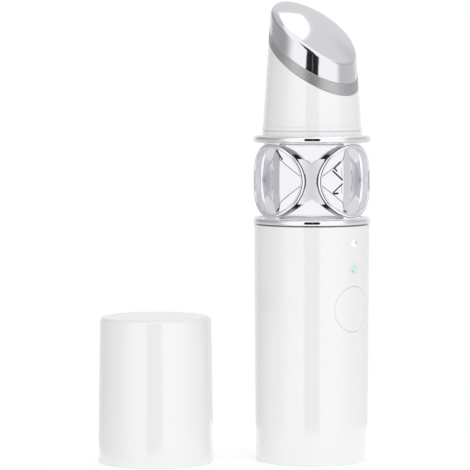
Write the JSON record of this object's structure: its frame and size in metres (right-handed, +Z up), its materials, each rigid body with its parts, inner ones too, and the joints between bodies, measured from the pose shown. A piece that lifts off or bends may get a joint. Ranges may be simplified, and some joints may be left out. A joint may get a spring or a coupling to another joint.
{
  "type": "heated eye massager wand",
  "caption": "Slim handheld wand with a slanted polished head, a white neck, an openwork metal collar round a faceted core, a push button with lights, and a lift-off cap.",
  "frame": {"origin": "centre of the wand's foot, on the surface that it stands on", "axes": "+Z up the wand; -Y is the front, where the button, the lights and the low side of the slanted face are; +X is to the right seen from the front"},
  "size_m": [0.0654, 0.0597, 0.1268],
  "materials": {
    "white_shell": "smooth gloss white moulding",
    "white_button": "smooth gloss white moulding",
    "inner_white": "unpainted moulding",
    "polished_cage": "bright plated casting",
    "polished_head": "bright polished metal",
    "satin_ring": "satin metal, brushed round the ring",
    "jewel_mirror": "mirror-bright facets",
    "clear_window": "clear light guide",
    "board_green": "solder mask",
    "chip_black": "moulded components",
    "lamp_yellow": "surface-mounted lamps",
    "port_steel": "drawn steel shell",
    "tab_nickel": "nickel strip",
    "screw_steel": "plated steel",
    "tie_brass": "turned brass",
    "cell_wrap": "shrink sleeve",
    "foam_grey": "closed-cell foam",
    "motor_steel": "drawn motor can",
    "weight_metal": "sintered heavy metal",
    "sleeve_rubber": "soft rubber",
    "heater_amber": "amber film heater",
    "wire_red": "insulated leads"
  },
  "bodies": {
    "wand": {"handle_casing": "white_shell", "base_cover": "white_shell", "charging_socket": "port_steel", "socket_tongue": "chip_black", "charging_board": "board_green", "tact_switch": "chip_black", "upper_light_window": "clear_window", "lower_light_window": "clear_window", "indicator_leds": "lamp_yellow", "main_board": "board_green", "board_chips": "chip_black", "battery_cell": "cell_wrap", "battery_tabs": "tab_nickel", "foam_pad": "foam_grey", "chassis": "inner_white", "chassis_screws": "screw_steel", "jewel_cage": "polished_cage", "faceted_core": "jewel_mirror", "core_tube": "tie_brass", "tube_nuts": "tie_brass", "head_wires": "wire_red", "neck_collar": "white_shell", "neck_shell": "white_shell", "trim_ring": "satin_ring", "massage_head": "polished_head", "head_carrier": "inner_white", "heater_film": "heater_amber", "thermistor": "chip_black", "motor_can": "motor_steel", "motor_end_cap": "inner_white", "motor_sleeve": "sleeve_rubber"},
    "button": {"power_button": "white_button", "switch_plunger": "inner_white"},
    "spinner": {"motor_shaft": "screw_steel", "eccentric_weight": "weight_metal"},
    "cap": {"cap_shell": "white_shell", "cap_liner": "inner_white"}
  },
  "joints": [
    {"name": "button_press", "type": "slide", "parent": "wand", "child": "button", "axis": [0, 1, 0], "range_m": [0, 0.00035], "stiffness_N_per_m": 1500},
    {"name": "weight_spin", "type": "hinge", "parent": "wand", "child": "spinner", "pos_m": [0, 0, 0.11], "axis": [0, 0, 1], "continuous": true},
    {"name": "cap_lift", "type": "slide", "parent": "wand", "child": "cap", "axis": [0, 0, 1], "range_m": [0, 0.135]}
  ]
}
